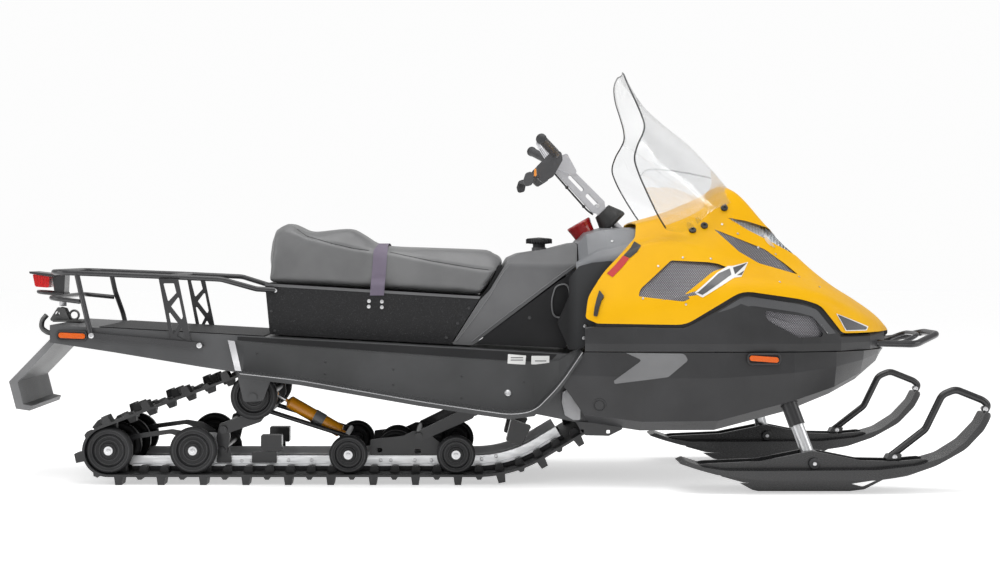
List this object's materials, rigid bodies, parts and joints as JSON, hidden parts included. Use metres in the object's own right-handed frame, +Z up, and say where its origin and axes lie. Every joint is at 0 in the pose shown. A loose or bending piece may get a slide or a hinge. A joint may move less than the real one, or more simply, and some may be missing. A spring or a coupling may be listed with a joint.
{
  "type": "snowmobile",
  "caption": "Utility snowmobile with a wide lugged track on slide rails, steerable skis, tilting hood with tall windshield, bench seat and rear luggage rack.",
  "frame": {"origin": "point on the ground below the middle of the bounding box, midway between snow flap and ski tips, on the centre plane", "axes": "+X forward along the skis, +Y to the rider's left, +Z up"},
  "size_m": [3.2994, 1.1038, 1.418],
  "materials": {
    "track_rubber": "matte",
    "wheel_plastic": "satin",
    "axle_steel": "satin",
    "rail_metal": "satin",
    "shoe_plastic": "matte",
    "shock_orange": "gloss",
    "arm_black": "satin",
    "tunnel_grey": "satin",
    "board_grey": "satin",
    "brace_steel": "satin",
    "rack_black": "satin",
    "box_plastic": "textured",
    "seat_vinyl": "satin",
    "strap_webbing": "matte",
    "tank_plastic": "satin",
    "cap_plastic": "matte",
    "body_grey": "satin",
    "mesh_grey": "matte",
    "hood_yellow": "gloss",
    "lamp_clear": "clear",
    "dash_plastic": "satin",
    "gauge_red": "gloss",
    "boot_rubber": "matte",
    "engine_block": "cast",
    "frame_black": "satin",
    "cast_metal": "cast",
    "screen_clear": "clear",
    "riser_metal": "brushed",
    "grip_rubber": "matte",
    "leg_silver": "satin",
    "ski_plastic": "satin",
    "lamp_red": "gloss",
    "flap_plastic": "matte",
    "reflector_orange": "gloss"
  },
  "bodies": {
    "chassis": {"track": "track_rubber", "track_wheels": "wheel_plastic", "wheel_axles": "axle_steel", "slide_rails": "rail_metal", "slide_shoes": "shoe_plastic", "shock_absorber": "shock_orange", "suspension_arms": "arm_black", "rail_brackets": "arm_black", "drive_axle": "wheel_plastic", "tunnel": "tunnel_grey", "running_boards": "board_grey", "board_braces": "brace_steel", "rear_rack": "rack_black", "seat_box": "box_plastic", "seat": "seat_vinyl", "seat_strap": "strap_webbing", "fuel_tank": "tank_plastic", "fuel_cap": "cap_plastic", "belly_pan": "body_grey", "middle_panel": "body_grey", "vent_meshes": "mesh_grey", "side_panels": "tank_plastic", "dash": "dash_plastic", "gauge_pod": "gauge_red", "column_boot": "boot_rubber", "engine": "engine_block", "front_frame": "frame_black", "drive_housings": "cast_metal", "front_bumper": "rack_black", "tail_lamp": "lamp_red", "tow_hitch": "rack_black", "snow_flap": "flap_plastic", "reflectors": "reflector_orange"},
    "hood": {"hood": "hood_yellow", "hood_grilles": "mesh_grey", "headlamps": "lamp_clear", "windshield": "screen_clear"},
    "steering": {"steering_riser": "riser_metal", "handlebar": "riser_metal", "hand_controls": "grip_rubber"},
    "ski_leg_right": {"ski_leg_right": "leg_silver"},
    "ski_leg_left": {"ski_leg_left": "leg_silver"},
    "ski_right": {"ski_right": "ski_plastic"},
    "ski_left": {"ski_left": "ski_plastic"}
  },
  "joints": [
    {"name": "hood_hinge", "type": "hinge", "parent": "chassis", "child": "hood", "pos_m": [1.393, 0, 0.512], "axis": [0, 1, 0], "range_deg": [0, 60]},
    {"name": "steering", "type": "hinge", "parent": "chassis", "child": "steering", "pos_m": [0.436, 0, 0.897], "axis": [-0.6896, 0, 0.7242], "range_deg": [-35, 35]},
    {"name": "ski_steer_right", "type": "hinge", "parent": "chassis", "child": "ski_leg_right", "pos_m": [1.054, -0.45, 0.097], "axis": [-0.3092, 0.2461, 0.9186], "range_deg": [-30, 30]},
    {"name": "ski_steer_left", "type": "hinge", "parent": "chassis", "child": "ski_leg_left", "pos_m": [1.054, 0.45, 0.097], "axis": [-0.3092, -0.2461, 0.9186], "range_deg": [-30, 30]},
    {"name": "ski_pitch_right", "type": "hinge", "parent": "ski_leg_right", "child": "ski_right", "pos_m": [1.054, -0.45, 0.097], "axis": [0, 1, 0], "range_deg": [-12, 8]},
    {"name": "ski_pitch_left", "type": "hinge", "parent": "ski_leg_left", "child": "ski_left", "pos_m": [1.054, 0.45, 0.097], "axis": [0, 1, 0], "range_deg": [-12, 8]}
  ],
  "couplings": [
    {"joint": "ski_steer_right", "follows": "steering", "ratio": 0.857},
    {"joint": "ski_steer_left", "follows": "steering", "ratio": 0.857}
  ]
}
